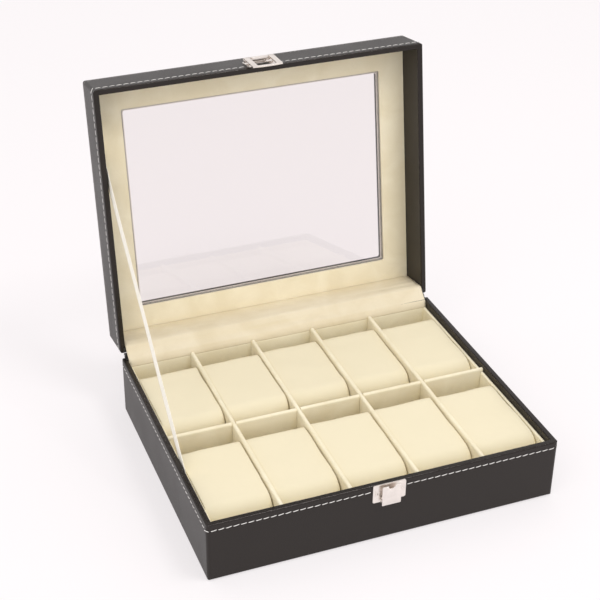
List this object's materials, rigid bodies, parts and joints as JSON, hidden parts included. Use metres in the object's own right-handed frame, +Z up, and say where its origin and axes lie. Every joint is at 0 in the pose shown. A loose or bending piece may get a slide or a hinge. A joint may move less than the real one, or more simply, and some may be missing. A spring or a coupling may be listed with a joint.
{
  "type": "watch box",
  "caption": "Leather-covered watch box with a hinged window lid held by a ribbon, velvet cells with lift-out pillows, and a sprung front catch with a swinging loop.",
  "frame": {"origin": "centre of the underside that the box rests on", "axes": "+Z up, the front with the catch faces -Y, +X to the right seen from the front"},
  "size_m": [0.25, 0.2699, 0.2501],
  "materials": {
    "black_leather": "semi-gloss grained imitation leather",
    "cream_velvet": "short velvet nap",
    "ivory_satin": "satin ribbon",
    "black_felt": "matt felt",
    "fibreboard": "raw fibreboard",
    "nickel": "polished nickel plate",
    "black_hinge_metal": "satin black",
    "steel": "zinc plated",
    "window_glass": "clear polished"
  },
  "bodies": {
    "base": {"underside_felt": "black_felt", "base_bottom_board": "fibreboard", "base_front_board": "fibreboard", "base_back_board": "fibreboard", "base_left_board": "fibreboard", "base_right_board": "fibreboard", "base_leather": "black_leather", "lining_floor": "cream_velvet", "lining_front": "cream_velvet", "lining_back": "cream_velvet", "lining_left": "cream_velvet", "lining_right": "cream_velvet", "long_divider": "cream_velvet", "cross_divider_1": "cream_velvet", "cross_divider_2": "cream_velvet", "cross_divider_3": "cream_velvet", "cross_divider_4": "cream_velvet", "catch_plate": "nickel", "catch_nails": "nickel", "catch_pin": "nickel", "catch_spring": "nickel", "hinge_base_leaf": "black_hinge_metal", "hinge_pin": "steel", "hinge_base_screws": "steel", "base_flap": "cream_velvet", "hinge_flap": "cream_velvet", "stay_ribbon": "ivory_satin"},
    "lid": {"lid_top_board": "fibreboard", "lid_front_board": "fibreboard", "lid_back_board": "fibreboard", "lid_left_board": "fibreboard", "lid_right_board": "fibreboard", "lid_leather": "black_leather", "window_glass": "window_glass", "window_panel": "cream_velvet", "clasp_plate": "nickel", "clasp_nails": "nickel", "clasp_pin": "nickel", "hinge_lid_leaf": "black_hinge_metal", "hinge_lid_screws": "steel", "lid_flap": "cream_velvet"},
    "loop": {"clasp_loop": "nickel"},
    "lever": {"catch_lever": "nickel"},
    "pillow_1": {"watch_pillow_1": "cream_velvet"},
    "pillow_2": {"watch_pillow_2": "cream_velvet"},
    "pillow_3": {"watch_pillow_3": "cream_velvet"},
    "pillow_4": {"watch_pillow_4": "cream_velvet"},
    "pillow_5": {"watch_pillow_5": "cream_velvet"},
    "pillow_6": {"watch_pillow_6": "cream_velvet"},
    "pillow_7": {"watch_pillow_7": "cream_velvet"},
    "pillow_8": {"watch_pillow_8": "cream_velvet"},
    "pillow_9": {"watch_pillow_9": "cream_velvet"},
    "pillow_10": {"watch_pillow_10": "cream_velvet"}
  },
  "joints": [
    {"name": "lid_hinge", "type": "hinge", "parent": "base", "child": "lid", "pos_m": [0, 0.10175, 0.0465], "axis": [-1, 0, 0], "range_deg": [-99, 0], "deforming": ["hinge_flap", "stay_ribbon"]},
    {"name": "clasp_loop_pivot", "type": "hinge", "parent": "lid", "child": "loop", "pos_m": [0, 0.14451, 0.24743], "axis": [-1, 0, 0], "range_deg": [0, 150]},
    {"name": "catch_lever_pivot", "type": "hinge", "parent": "base", "child": "lever", "pos_m": [0, -0.1025, 0.0342], "axis": [1, 0, 0], "range_deg": [0, 10], "stiffness_Nm_per_rad": 0.02, "deforming": ["catch_spring"]},
    {"name": "pillow_1_lift", "type": "slide", "parent": "base", "child": "pillow_1", "axis": [0, 0, 1], "range_m": [0, 0.07]},
    {"name": "pillow_2_lift", "type": "slide", "parent": "base", "child": "pillow_2", "axis": [0, 0, 1], "range_m": [0, 0.07]},
    {"name": "pillow_3_lift", "type": "slide", "parent": "base", "child": "pillow_3", "axis": [0, 0, 1], "range_m": [0, 0.07]},
    {"name": "pillow_4_lift", "type": "slide", "parent": "base", "child": "pillow_4", "axis": [0, 0, 1], "range_m": [0, 0.07]},
    {"name": "pillow_5_lift", "type": "slide", "parent": "base", "child": "pillow_5", "axis": [0, 0, 1], "range_m": [0, 0.07]},
    {"name": "pillow_6_lift", "type": "slide", "parent": "base", "child": "pillow_6", "axis": [0, 0, 1], "range_m": [0, 0.07]},
    {"name": "pillow_7_lift", "type": "slide", "parent": "base", "child": "pillow_7", "axis": [0, 0, 1], "range_m": [0, 0.07]},
    {"name": "pillow_8_lift", "type": "slide", "parent": "base", "child": "pillow_8", "axis": [0, 0, 1], "range_m": [0, 0.07]},
    {"name": "pillow_9_lift", "type": "slide", "parent": "base", "child": "pillow_9", "axis": [0, 0, 1], "range_m": [0, 0.07]},
    {"name": "pillow_10_lift", "type": "slide", "parent": "base", "child": "pillow_10", "axis": [0, 0, 1], "range_m": [0, 0.07]}
  ]
}
